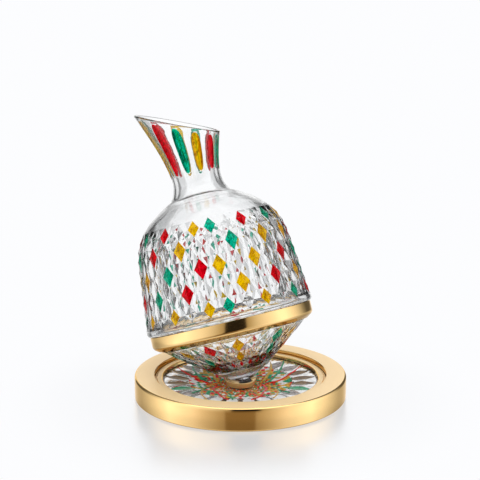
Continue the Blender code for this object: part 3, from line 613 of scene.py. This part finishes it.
class Shell:
    """Vertices and faces of one closed piece, built ring by ring round Z."""

    def __init__(self):
        self.points = []
        self.faces = []
        self.looks = []
        self.smooth = []
        self.sharp = set()

    def ring(self, places):
        """Adds a ring of (azimuth, radius, height) and returns (azimuth, index) for each."""
        made = []
        for azimuth, radius, height in places:
            made.append((azimuth, len(self.points)))
            self.points.append((radius * math.cos(azimuth), radius * math.sin(azimuth), height))
        return made

    def face(self, corners, look=0, smooth=True):
        """Adds one face."""
        self.faces.append(tuple(corners))
        self.looks.append(look)
        self.smooth.append(smooth)

    def band(self, low, high, looks=None, smooth=True):
        """Joins two rings of the same count with quads."""
        count = len(low)
        for i in range(count):
            j = (i + 1) % count
            look = looks[i] if looks else 0
            self.face((low[i][1], low[j][1], high[j][1], high[i][1]), look, smooth)

    def facets(self, look, *faces):
        """Adds flat faces that share a look."""
        for corners in faces:
            self.face(corners, look, False)

    def bands(self, rings, look=0):
        """Joins each ring of a list to the next."""
        for low, high in zip(rings, rings[1:]):
            self.band(low, high, [look] * len(low))

    def stitch(self, low, high):
        """Joins two rings of different counts with triangles, by azimuth."""
        low, high = self.sorted_ring(low), self.sorted_ring(high)
        i = j = 0
        while i < len(low) - 1 or j < len(high) - 1:
            low_next = low[i + 1][0] if i < len(low) - 1 else math.inf
            high_next = high[j + 1][0] if j < len(high) - 1 else math.inf
            if low_next <= high_next:
                self.face((low[i][1], low[i + 1][1], high[j][1]))
                i += 1
            else:
                self.face((low[i][1], high[j + 1][1], high[j][1]))
                j += 1

    @staticmethod
    def sorted_ring(ring):
        """The ring from its smallest azimuth, closed with its first vertex a turn on."""
        turned = sorted((azimuth % (2 * math.pi), index) for azimuth, index in ring)
        return turned + [(turned[0][0] + 2 * math.pi, turned[0][1])]

    def pole(self, ring, height, look=0):
        """Closes a ring with a fan to a point on the axis."""
        centre = len(self.points)
        self.points.append((0.0, 0.0, height))
        count = len(ring)
        for i in range(count):
            self.face((ring[i][1], ring[(i + 1) % count][1], centre), look)

    def build(self, name, materials, matrix, sharp_angle=math.pi):
        """The finished object, with its normals outward and edges past an angle sharp."""
        mesh = bpy.data.meshes.new(name)
        mesh.from_pydata(self.points, [], self.faces)
        mesh.polygons.foreach_set("material_index", self.looks)
        mesh.polygons.foreach_set("use_smooth", self.smooth)
        shape = bmesh.new()
        shape.from_mesh(mesh)
        for edge in shape.edges:
            if frozenset((edge.verts[0].index, edge.verts[1].index)) in self.sharp:
                edge.smooth = False
            if edge.calc_face_angle(0.0) > sharp_angle:
                edge.smooth = False
        bmesh.ops.recalc_face_normals(shape, faces=shape.faces)
        shape.to_mesh(mesh)
        shape.free()
        for material in materials:
            mesh.materials.append(material)
        mesh.transform(matrix)
        return new_object(name, mesh)


def even_azimuths():
    """Azimuths of the plain rings: each column's middle and the border between columns."""
    step = math.pi / COLUMNS
    return [COLUMN_PHASE + i * step for i in range(2 * COLUMNS)]


def plain_ring(shell, radius, height):
    """A round ring with one vertex at each half column."""
    return shell.ring([(a, radius, height) for a in even_azimuths()])


def cut_band(shell, base_h, rows, words):
    """Rows of cut diamonds, each a low pyramid, between six-sided facets.

    Returns the lowest and the highest ring, which have one vertex at each half column.
    """
    pitch = 2 * math.pi / COLUMNS
    middles = [COLUMN_PHASE + c * pitch for c in range(COLUMNS)]

    def border(height, depth):
        outside = glass_radius(height)
        places = []
        for middle in middles:
            places += [
                (middle, outside - depth, height),
                (middle + pitch / 2, outside - depth * CUT_SEAM_SHARE, height),
            ]
        return shell.ring(places)

    lowest = below = border(base_h, rows[0][3] * CUT_END_SHARE)
    for k, (middle_h, top_h, half_width, depth) in enumerate(rows):
        wide = math.radians(half_width)
        radius = glass_radius(middle_h)
        side_radius = radius - depth * CUT_SIDE_SHARE
        places = []
        for middle in middles:
            places += [
                (middle - wide, side_radius, middle_h),
                (middle, radius, middle_h),
                (middle + wide, side_radius, middle_h),
            ]
        row = shell.ring(places)
        last = k == len(rows) - 1
        above = border(top_h, depth * CUT_END_SHARE if last else depth)
        for c in range(COLUMNS):
            d = (c + 1) % COLUMNS
            left, apex, right = (row[3 * c + i][1] for i in range(3))
            next_left = row[3 * d][1]
            corners = (2 * c, 2 * c + 1, 2 * d)
            low_tip, low_middle, next_low_tip = (below[i][1] for i in corners)
            high_tip, high_middle, next_high_tip = (above[i][1] for i in corners)
            shell.facets(
                ENAMEL_SLOTS[words[k][c]],
                (apex, right, high_tip),
                (apex, high_tip, left),
                (apex, left, low_tip),
                (apex, low_tip, right),
            )
            shell.facets(
                0,
                (low_middle, next_low_tip, next_left),
                (low_middle, next_left, right),
                (low_middle, right, low_tip),
                (high_middle, high_tip, right),
                (high_middle, right, next_left),
                (high_middle, next_left, next_high_tip),
            )
        below = above
    return lowest, below


def flute_columns(t):
    """Offsets of a sector's vertices from its flute's middle, and the flute's fullness there."""
    sector = math.pi / FLUTE_COUNT
    fullness = max(0.0, 1.0 - abs(2 * t - 1) ** FLUTE_END_POWER) ** (1 / FLUTE_SIDE_POWER)
    wide = FLUTE_TIP_ANGLE + (FLUTE_HALF_ANGLE - FLUTE_TIP_ANGLE) * fullness
    half = FLUTE_LAST - FLUTE_MIDDLE
    inside = [wide * i / half for i in range(-half, half + 1)]
    left = [-sector + (sector - wide) * i / FLUTE_FIRST for i in range(FLUTE_FIRST)]
    right = [wide + (sector - wide) * i / FLUTE_FIRST for i in range(1, FLUTE_FIRST)]
    return left + inside + right, fullness


def make_glass():
    """The vessel: solid tip, cut cone, seat of the belt, cut belly, shoulder, fluted neck."""
    shell = Shell()
    nose_angle = math.asin(NOSE_EDGE_RADIUS / NOSE_RADIUS)
    rings = []
    for a in np.linspace(nose_angle / 5, nose_angle, 5):
        rings.append(plain_ring(shell, NOSE_RADIUS * math.sin(a), -NOSE_RADIUS * math.cos(a)))
    # The solid tip below the cut cone is tinted dark grey as painted shade
    shell.pole(rings[0], -NOSE_RADIUS, SHADED_TIP_SLOT)
    for h in np.linspace(NOSE_EDGE_H, CONE_BASE_H, 4)[1:-1]:
        rings.append(plain_ring(shell, glass_radius(h), h))
    low, high = cut_band(shell, CONE_BASE_H, CONE_ROWS, CONE_ENAMELS)
    shell.bands(rings + [low], SHADED_TIP_SLOT)

    outline = [
        (CONE_TOP_RADIUS, CONE_TOP_H),
        (BELT_SEAT_RADIUS, BELT_SEAT_H),
        (BELT_SEAT_RADIUS, BELT_SHELF_H),
    ]
    for t in np.linspace(0.0, math.pi / 2, 6):
        radius = RIM_START_RADIUS + (RIM_RADIUS - RIM_START_RADIUS) * math.sin(t)
        outline.append((radius, RIM_H - (RIM_H - BELT_SHELF_H) * math.cos(t)))
    outline.append((glass_radius(BELLY_FOOT_H), BELLY_FOOT_H))
    rings = [high] + [plain_ring(shell, r, h) for r, h in outline]
    low, high = cut_band(shell, BELLY_BASE_H, BELLY_ROWS, BELLY_ENAMELS)
    shell.bands(rings + [low])

    heights = [
        *np.linspace(BELLY_ROWS[-1][1], THROAT_H, 12)[1:],
        *np.linspace(THROAT_H, NECK_H, 7)[1:],
        NECK_PLAIN_TOP_H,
    ]
    rings = [high] + [plain_ring(shell, glass_radius(h), h) for h in heights]
    shell.bands(rings)
    lip = make_flutes(shell, rings[-1])
    make_cavity(shell, lip)
    looks = [CRYSTAL, RED, GREEN, AMBER, PAINTED_SHADE_TIP]
    return shell.build("carafe_glass_cut", looks, CARAFE)


def make_flutes(shell, below):
    """The fluted neck up to its rounded lip; returns the lip's innermost ring."""
    count = FLUTE_FIRST + FLUTE_LAST
    looks = []
    for enamel in FLUTE_ENAMELS:
        painted = ENAMEL_SLOTS[enamel]
        looks += [painted if FLUTE_FIRST <= i < FLUTE_LAST else 0 for i in range(count)]
    angles = np.linspace(FLUTE_FIRST_ROW, 1.0, 17) * math.pi
    previous = None
    for t in [0.0] + [round(0.5 - 0.5 * math.cos(a), 5) for a in angles]:
        offsets, fullness = flute_columns(t)
        places = []
        for k in range(FLUTE_COUNT):
            middle = FLUTE_PHASE + 2 * math.pi * k / FLUTE_COUNT
            for i, offset in enumerate(offsets):
                azimuth = middle + offset
                end = mouth_height(azimuth) - FLUTE_TO_RIM
                height = FLUTE_START_H + (end - FLUTE_START_H) * t
                u = (i - FLUTE_MIDDLE) / (FLUTE_LAST - FLUTE_MIDDLE)
                depth = FLUTE_DEPTH * fullness * max(0.0, 1 - u * u)
                places.append((azimuth, glass_radius(height) - depth, height))
        ring = shell.ring(places)
        if previous is None:
            shell.stitch(below, ring)
        else:
            shell.band(previous, ring, looks)
            for k in range(FLUTE_COUNT):
                for n in (k * count + FLUTE_FIRST, k * count + FLUTE_LAST):
                    shell.sharp.add(frozenset((previous[n][1], ring[n][1])))
        previous = ring
    azimuths = [azimuth for azimuth, _ in previous]
    half = LIP_WALL / 2
    for share in LIP_ROWS:
        places = []
        for azimuth in azimuths:
            top = mouth_height(azimuth) - half
            height = top - (FLUTE_TO_RIM - half) * (1 - share)
            places.append((azimuth, glass_radius(height), height))
        ring = shell.ring(places)
        shell.band(previous, ring)
        previous = ring
    for a in np.linspace(0.0, math.pi, 7):
        places = []
        for azimuth in azimuths:
            height = mouth_height(azimuth) - half
            radius = glass_radius(height) - half * (1 - math.cos(a))
            places.append((azimuth, radius, height + half * math.sin(a)))
        ring = shell.ring(places)
        shell.band(previous, ring)
        previous = ring
    return previous


def make_cavity(shell, lip):
    """The inside of the vessel, from the lip down to the rounded floor above the solid tip."""
    rings = []
    for share in np.linspace(0.15, 1.0, 8):
        places = []
        for azimuth in even_azimuths():
            top = mouth_height(azimuth, LIP_WALL) - LIP_WALL / 2
            outside_h = top + (NECK_H - top) * share
            radius, height = inner_point(outside_h)
            places.append((azimuth, radius, height))
        rings.append(shell.ring(places))
    heights = [
        *np.linspace(NECK_H, THROAT_H, 6)[1:],
        *np.linspace(THROAT_H, BELLY_TOP_H, 12)[1:],
        *np.linspace(BELLY_TOP_H, RIM_H, 8)[1:],
    ]
    rings += [plain_ring(shell, *inner_point(h)) for h in heights]
    for h in np.linspace(CONE_TOP_H, NOSE_EDGE_H, 40):
        radius, height = inner_point(h)
        if radius < CAVITY_FLOOR_REACH and height < CAVITY_FLOOR_H + cap_rise(radius):
            break
        rings.append(plain_ring(shell, radius, height))
        edge = radius
    for radius in np.linspace(edge, 0.0, 7)[1:-1]:
        rings.append(plain_ring(shell, radius, CAVITY_FLOOR_H + cap_rise(radius)))
    shell.stitch(lip, rings[0])
    shell.bands(rings)
    shell.pole(rings[-1], CAVITY_FLOOR_H)


def dish_rise(radius):
    """Height of the dish's hollow above its middle."""
    t = (radius - DISH_FLAT_RADIUS) / (DISH_SIGHT_RADIUS - DISH_FLAT_RADIUS)
    t = min(1.0, max(0.0, t))
    return DISH_SAG * math.sin(t * math.pi / 2) ** DISH_CURVE


def dish_top(radius):
    """Height of the dish's hollow."""
    return DISH_TOP_Z + dish_rise(radius)


def dish_under(radius):
    """Height of the dish's underside."""
    t = dish_rise(radius) / DISH_SAG
    return DISH_BASE_Z + (DISH_EDGE_BASE_Z - DISH_BASE_Z) * t


def make_dish():
    """Cut-glass dish: a painted net of small diamonds, petals round it, silver beneath."""
    shell = Shell()
    count = 2 * DISH_NET_COLUMNS
    step = 2 * math.pi / count

    def circle(radius, height, dips=(0.0, 0.0)):
        return shell.ring([(i * step, radius, height - dips[i % 2]) for i in range(count)])

    hole = circle(DISH_HOLE_RADIUS, DISH_TOP_Z)
    flat = circle(NET_START_RADIUS, dish_top(NET_START_RADIUS))
    shell.band(hole, flat)
    net_edge = make_net(shell, flat, circle)
    rim = make_petals(shell, net_edge)
    for arm in ARMS:
        make_arm(shell, *arm)
    outline = (
        (DISH_SIGHT_RADIUS, dish_top(DISH_SIGHT_RADIUS)),
        (DISH_RADIUS, DISH_EDGE_TOP_Z),
        (DISH_RADIUS, DISH_EDGE_BASE_Z),
    )
    rings = [circle(radius, height) for radius, height in outline]
    shell.stitch(rim, rings[0])
    shell.bands(rings)
    under = [
        circle(radius, dish_under(radius))
        for radius in np.linspace(DISH_SIGHT_RADIUS, DISH_FLAT_RADIUS, 14)
    ]
    under.append(circle(DISH_HOLE_RADIUS, DISH_BASE_Z))
    shell.bands([rings[-1]] + under, SILVER_SLOT)
    shell.band(under[-1], hole, smooth=False)
    looks = [CRYSTAL, SILVERED, DISH_RED, DISH_GREEN, DISH_AMBER, DISH_BRONZE, PEARL, DISH_SMOKE]
    return shell.build("glass_dish_cut", looks, BASE)


def make_net(shell, below, circle):
    """The net of small low diamonds; returns its outermost ring."""
    growth = (NET_END_RADIUS / NET_START_RADIUS) ** (1 / NET_ROWS)
    count = 2 * DISH_NET_COLUMNS
    for k in range(NET_ROWS):
        radius = NET_START_RADIUS * growth ** (k + 0.5)
        border_radius = NET_START_RADIUS * growth ** (k + 1)
        row = circle(radius, dish_top(radius), (0.0, NET_DEPTH))
        above = circle(border_radius, dish_top(border_radius), (NET_DEPTH, 0.0))
        for c in range(DISH_NET_COLUMNS):
            n = 2 * c
            before, after, far = (n - 1) % count, n + 1, (n + 2) % count
            apex, left, right = (row[i][1] for i in (n, before, after))
            low_tip, low_side, low_far = (below[i][1] for i in (n, after, far))
            high_tip, high_side, high_far = (above[i][1] for i in (n, after, far))
            shell.facets(
                net_look(c, k, radius),
                (apex, right, high_tip),
                (apex, high_tip, left),
                (apex, left, low_tip),
                (apex, low_tip, right),
            )
            shell.facets(
                net_look(c + 0.5, k + 0.5, border_radius),
                (high_side, high_tip, right),
                (high_side, right, high_far),
            )
            shell.facets(
                net_look(c + 0.5, k - 0.5, border_radius / growth),
                (low_side, right, low_tip),
                (low_side, low_far, right),
            )
        below = above
    return below


def net_look(column, row, radius):
    """Enamel of a diamond of the net, by a mosaic rule that thins out towards the petals."""
    number = int(round(2 * column) * 7 + round(2 * row) * 11 + round(column * row) % 5 * 3) % 13
    return DISH_SLOTS[(DENSE_NET if radius < DENSE_RADIUS else THIN_NET)[number]]


def make_petals(shell, inner):
    """Rounded petals and the painted leaves between them; returns the outermost ring."""
    pitch = 2 * math.pi / PETALS
    looks = []
    for c in range(PETALS):
        before, after = DISH_SLOTS[LEAVES[c]], DISH_SLOTS[LEAVES[(c + 1) % PETALS]]
        looks += [before] + [SILVER_SLOT] * (len(PETAL_SHAPE) - 1) + [after]
    previous = None
    for radius, half_width in LEAF_SHAPE + ((LEAF_LAST_RADIUS, LEAF_SHAPE[-1][1]),):
        wide = math.radians(half_width)
        room = pitch - 2 * wide
        top = dish_top(radius)
        places = []
        for c in range(PETALS):
            middle = (c + 0.5) * pitch
            places.append((middle, radius, top - PETAL_DEPTH * LEAF_DIP))
            for share, dip in PETAL_SHAPE:
                azimuth = middle + wide + room * share
                places.append((azimuth, radius, top - PETAL_DEPTH * dip))
        ring = shell.ring(places)
        if previous is None:
            shell.stitch(inner, ring)
        elif radius < LEAF_LAST_RADIUS:
            shell.band(previous, ring, looks)
        else:
            shell.band(previous, ring, [SILVER_SLOT] * len(looks))
        previous = ring
    return previous


def make_arm(shell, colour, half_width, radii, azimuths):
    """One raised painted line, which tapers to both ends."""
    marks = np.linspace(0.0, 1.0, len(radii))
    previous = None
    for t in np.linspace(0.0, 1.0, ARM_STEPS):
        ends = (max(0.0, t - ARM_REACH), min(1.0, t + ARM_REACH))
        radius = float(np.interp(t, marks, radii))
        azimuth = math.radians(float(np.interp(t, marks, azimuths)))
        run = float(np.diff(np.interp(ends, marks, radii))[0])
        swing = math.radians(float(np.diff(np.interp(ends, marks, azimuths))[0]))
        along = math.hypot(run, radius * swing)
        taper = math.sin(math.pi * (ARM_TAPER_START + ARM_TAPER_SPAN * t))
        wide = half_width * taper**ARM_TAPER_POWER
        places = []
        for side, rise in ((-1.0, -1.0), (0.0, 1.0), (1.0, -1.0)):
            shifted = radius - side * wide * radius * swing / along
            turned_by = side * wide * run / along / radius
            places.append((azimuth + turned_by, shifted, dish_top(shifted) + rise * ARM_RISE))
        row = shell.ring(places)
        if previous is not None:
            for i in (0, 1):
                corners = (previous[i][1], previous[i + 1][1], row[i + 1][1], row[i][1])
                shell.face(corners, DISH_SLOTS[colour])
        previous = row


def arc(centre_r, centre_z, radius, start, end, steps=6):
    """Points of an arc in a section, from one angle to the other."""
    return [
        (centre_r + radius * math.cos(a), centre_z + radius * math.sin(a))
        for a in np.linspace(start, end, steps + 1)
    ]


def turned(name, outline, material, matrix, closed=True):
    """A turned piece from its section's outline; an open outline ends on the axis."""
    shell = Shell()
    step = 2 * math.pi / TURN_STEPS
    rings = [
        shell.ring([(i * step, radius, height) for i in range(TURN_STEPS)])
        for radius, height in outline
        if radius > 0.0
    ]
    shell.bands(rings)
    if closed:
        shell.band(rings[-1], rings[0])
    else:
        shell.pole(rings[0], outline[0][1])
        shell.pole(rings[-1], outline[-1][1])
    return shell.build(name, [material], matrix, SHARP_ANGLE)


def make_ring():
    """The gilt ring that stands on the table: satin top, polished wall, very slightly crowned."""
    rounding = RING_TOP_ROUNDING
    crown_low, crown_high = RING_FOOT_Z + RING_FOOT_ROUNDING, RING_TOP_Z - rounding
    outline = [
        (OPENING_RADIUS, RING_TOP_Z - OPENING_CHAMFER),
        (OPENING_RADIUS + OPENING_CHAMFER, RING_TOP_Z),
    ]
    rounded = arc(RING_RADIUS - rounding, crown_high, rounding, math.pi / 2, 0.0)
    outline += [(r - RING_CROWN, z) for r, z in rounded]
    for t in np.linspace(1.0, 0.0, 9)[1:-1]:
        bow = RING_CROWN * (2 * t - 1) ** 2
        outline.append((RING_RADIUS - bow, crown_low + (crown_high - crown_low) * t))
    foot = arc(RING_RADIUS - RING_FOOT_ROUNDING, crown_low, RING_FOOT_ROUNDING, 0.0, -math.pi / 2)
    outline += [(r - RING_CROWN, z) for r, z in foot]
    outline += [
        (CHANNEL_OUTER_RADIUS, RING_FOOT_Z),
        (CHANNEL_OUTER_RADIUS, CHANNEL_TOP_Z),
        (CHANNEL_INNER_RADIUS, CHANNEL_TOP_Z),
        (CHANNEL_INNER_RADIUS, SHELF_BASE_Z),
        (SHELF_RADIUS, SHELF_BASE_Z),
        (SHELF_RADIUS, SHELF_TOP_Z),
        (OPENING_RADIUS, SHELF_TOP_Z),
    ]
    return turned("base_ring_gilt", outline, GILT_RING, BASE)


def make_bezel():
    """The narrow gilt bezel with its rounded lip."""
    lip = [
        (
            BEZEL_INNER_RADIUS + BEZEL_LIP_WIDTH * (1 - math.cos(a)),
            BEZEL_LIP_Z + (BEZEL_TOP_Z - BEZEL_LIP_Z) * math.sin(a),
        )
        for a in np.linspace(0.0, math.pi / 2, 7)
    ]
    corner = BEZEL_CORNER
    bend = arc(BEZEL_STEP_RADIUS - corner, BEZEL_TOP_Z - corner, corner, math.pi / 2, 0.0, 3)
    outline = lip + bend + [
        (BEZEL_STEP_RADIUS, BEZEL_STEP_Z),
        (BEZEL_RADIUS, BEZEL_STEP_Z),
        (BEZEL_RADIUS, BEZEL_BASE_Z),
        (BEZEL_INNER_RADIUS, BEZEL_BASE_Z),
    ]
    return turned("dish_bezel_gilt", outline, GILT_RING, BASE)


def make_belt():
    """The gilt belt with rounded edges and a bevelled underside."""
    rounding = BELT_ROUNDING
    outline = [(BELT_INNER_RADIUS, BELT_TOP_H)]
    outline += arc(BELT_RADIUS - rounding, BELT_TOP_H - rounding, rounding, math.pi / 2, 0.0, 5)
    corner = BELT_CORNER
    edge_h = BELT_BEVEL_H - BELT_FACE_DROP
    tilt = math.atan2(BELT_RADIUS - BELT_FOOT_OUTER_RADIUS, edge_h - BELT_FOOT_H)
    bend_h = edge_h + corner * math.tan(tilt / 2)
    outline += arc(BELT_RADIUS - corner, bend_h, corner, 0.0, -tilt, 10)
    outline += [
        (BELT_FOOT_OUTER_RADIUS, BELT_FOOT_H),
        (BELT_FOOT_INNER_RADIUS, BELT_FOOT_H),
        (BELT_INNER_RADIUS, BELT_SEAT_START_H),
    ]
    return turned("carafe_belt_gilt", outline, GILT, CARAFE)


def make_cup():
    """The gilt cup with its round seat and its stud."""
    seat_low = -math.pi / 2
    seat = arc(0.0, PIVOT_Z, CUP_SEAT_RADIUS, seat_low, seat_low + CUP_RIM_ANGLE, 12)
    rim_radius, rim_z = seat[-1]
    half = CUP_RIM_WIDTH / 2
    lip = arc(rim_radius + half, rim_z - half, half, CUP_LIP_START, 0.0, 6)
    reach = rim_radius + CUP_RIM_WIDTH - CUP_FOOT_RADIUS
    drop = rim_z - half - CUP_BASE_Z
    bowl = [
        (CUP_FOOT_RADIUS + reach * math.cos(a) ** CUP_FULLNESS, rim_z - half - drop * math.sin(a))
        for a in np.linspace(0.0, CUP_BOWL_END, 12)[1:]
    ]
    stud = [(STUD_RADIUS, CUP_BASE_Z), (STUD_RADIUS, STUD_END_Z), (0.0, STUD_END_Z)]
    outline = seat[:-1] + lip + bowl + stud
    return turned("pivot_cup_gilt", outline, GILT_CUP, BASE, closed=False)


def rising(low, high):
    """Ramp stops from black to white."""
    return ((low, 0.0), (high, 1.0))


def falling(low, high):
    """Ramp stops from white to black."""
    return ((low, 1.0), (high, 0.0))


# The studio by direction: round the object from the camera's side at 0 to the far side at 1, and
# up from straight down at 0, over the horizon at 0.5, to straight up at 1. One number is a grey

# Walls as the low side of the object sees them
LOW_WALLS = (
    (0.000, (0.27, 0.185, 0.09)),
    (0.086, (0.27, 0.185, 0.09)),
    (0.094, (0.46, 0.37, 0.26)),
    (0.116, (0.50, 0.41, 0.29)),
    (0.173, (0.65, 0.57, 0.46)),
    (0.230, (0.86, 0.78, 0.70)),
    (0.290, (1.10, 1.04, 1.02)),
    (0.344, 1.20),
    (0.406, 1.40),
    (0.461, 1.50),
    (0.516, 1.22),
    (0.572, 1.00),
    (0.628, 0.80),
    (0.689, 0.62),
    (0.744, 0.52),
    (0.800, 0.55),
    (0.856, 0.70),
    (0.911, 0.88),
    (0.962, 1.02),
)

# Walls above the horizon: a dark camera side, pale boxes, dark cards beside the paper
HIGH_WALLS = (
    (0.000, (0.022, 0.018, 0.014)),
    (0.080, (0.022, 0.018, 0.014)),
    (0.092, (0.50, 0.42, 0.30)),
    (0.114, (0.57, 0.50, 0.37)),
    (0.172, (0.83, 0.79, 0.74)),
    (0.228, (1.05, 1.02, 1.00)),
    (0.272, 1.17),
    (0.333, 1.35),
    (0.390, 1.60),
    (0.440, 1.60),
    (0.500, 1.35),
    (0.560, 1.05),
    (0.617, 0.70),
    (0.667, 0.36),
    (0.722, 0.13),
    (0.860, 0.13),
    (0.875, 1.02),
)

# Walls as they are seen through the glass: paper behind, grey sides, dark edges between them
ROOM_WALLS = (
    (0.000, 0.80),
    (0.200, 0.82),
    (0.350, 0.90),
    (0.450, 0.95),
    (0.600, 1.00),
    (0.700, 0.92),
    (0.790, 0.78),
    (0.830, 0.06),
    (0.895, 0.06),
    (0.910, 0.66),
    (0.952, 0.68),
    (0.962, 1.02),
)

# Where the walls' foot and their high part begin, and how far the high part is turned
WALL_FOOT = ((0.384, 0.88), (0.389, 1.13))
HIGH_START = rising(0.41, 0.46)
HIGH_TURN = math.radians(6.0)

# Light over the walls: the soft box overhead, then the table close to the object
WALL_LAYERS = (
    (rising(0.80, 0.85), 1.95),
    (falling(0.26, 0.33), 0.90),
)

# Light over what the glass shows: a dim loft above the paper, a bright top, a grey table
ROOM_LAYERS = (
    (rising(0.52, 0.56) + falling(0.64, 0.69), 0.30),
    (rising(0.64, 0.70), 1.15),
    (falling(0.32, 0.38), 0.52),
)
DIFFUSE_LIGHT = 1.15
PAPER = (0.950, 0.955, 0.970)


def half_turns(tree, turn):
    """A turn to either side as a share of half a turn."""
    return maths(tree, "DIVIDE", maths(tree, "ABSOLUTE", turn), math.pi)


def make_world():
    """A plain studio by direction: soft pale walls, a soft box overhead, pale paper behind."""
    world = bpy.data.worlds.new("studio")
    bpy.context.scene.world = world
    world.use_nodes = True
    tree = world.node_tree
    tree.nodes.clear()
    x, y, z = axes(tree, add_node(tree, "TexCoord").outputs["Generated"])
    turn = maths(tree, "ARCTAN2", x, maths(tree, "MULTIPLY", y, -1.0))
    around = half_turns(tree, turn)
    aside = half_turns(tree, maths(tree, "SUBTRACT", turn, HIGH_TURN))
    raised = maths(tree, "DIVIDE", maths(tree, "ARCSINE", z), math.pi / 2)
    level = maths(tree, "MULTIPLY_ADD", raised, 0.5, 0.5)

    foot = graded(tree, level, WALL_FOOT)
    colour = mix(tree, 1.0, graded(tree, around, LOW_WALLS), foot, "MULTIPLY")
    colour = mix(tree, graded(tree, level, HIGH_START), colour, graded(tree, aside, HIGH_WALLS))
    for stops, light in WALL_LAYERS:
        colour = mix(tree, graded(tree, level, stops), colour, light)
    room = graded(tree, around, ROOM_WALLS)
    for stops, light in ROOM_LAYERS:
        room = mix(tree, graded(tree, level, stops), room, light)

    path = add_node(tree, "LightPath").outputs
    colour = mix(tree, path["Is Transmission Ray"], colour, room)
    colour = mix(tree, path["Is Diffuse Ray"], colour, DIFFUSE_LIGHT)
    studio = add_node(tree, "Background", {"Color": colour}).outputs[0]
    paper = add_node(tree, "Background", {"Color": PAPER}).outputs[0]
    seen = mix_shaders(tree, path["Is Camera Ray"], studio, paper)
    add_node(tree, "OutputWorld", {"Surface": seen})


def make_floor():
    """Plain pale floor that keeps the object's shadow and a faint reflection of the ring."""
    mesh = bpy.data.meshes.new("floor")
    side = FLOOR_SIDE
    corners = [(-side, -side, 0.0), (side, -side, 0.0), (side, side, 0.0), (-side, side, 0.0)]
    mesh.from_pydata(corners, [], [(0, 1, 2, 3)])
    floor = new_object("floor", mesh)
    floor.location.z = FLOOR_Z
    floor.visible_glossy = False
    floor.visible_transmission = False
    material, tree = new_material("pale_floor")
    matt = add_node(tree, "BsdfDiffuse", {"Color": FLOOR_MATT}).outputs["BSDF"]
    gloss = add_node(tree, "BsdfGlossy", {"Color": FLOOR_GLOSS, "Roughness": FLOOR_ROUGHNESS})
    surface = mix_shaders(tree, FLOOR_SHEEN, matt, gloss.outputs["BSDF"])
    paper = add_node(tree, "Emission", {"Color": FLOOR_PAPER}).outputs["Emission"]
    place = add_node(tree, "TexCoord").outputs["Object"]
    reach = add_node(tree, "VectorMath")
    reach.operation = "LENGTH"
    link(tree, place, reach.inputs[0])
    back = axes(tree, place)[1]
    faded = spread(tree, reach.outputs["Value"], FLOOR_GLOW, 1.0, *FLOOR_FADE, "SMOOTHSTEP")
    behind = spread(tree, back, 0.0, FLOOR_BACK_GLOW, *FLOOR_BACK_FADE, "SMOOTHSTEP")
    surface = mix_shaders(tree, maths(tree, "MAXIMUM", faded, behind), surface, paper)
    add_node(tree, "OutputMaterial", {"Surface": surface})
    mesh.materials.append(material)


def make_camera():
    """The camera at the photograph's place and angle."""
    data = bpy.data.cameras.new("camera")
    data.sensor_width = CAMERA_SENSOR
    data.lens = CAMERA_LENS
    camera = new_object("camera", data)
    camera.location = CAMERA_PLACE
    camera.rotation_euler = (CAMERA_PITCH, 0.0, 0.0)
    bpy.context.scene.camera = camera


dress_cad_nodes()

PIECES = (
    (make_glass(), "carafe", "carafe_glass", "crystal"),
    (make_dish(), "base", "glass_dish", "dish_glass"),
    (make_ring(), "base", "base_ring", "gilt"),
    (make_bezel(), "base", "dish_bezel", "gilt"),
    (make_cup(), "cup", "pivot_cup", "gilt"),
    (make_belt(), "carafe", "carafe_belt", "gilt"),
)
for piece, body, node, slot in PIECES:
    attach(piece, body)
    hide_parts(node)

make_world()
make_floor()
make_camera()
bpy.context.scene.view_settings.view_transform = "Standard"
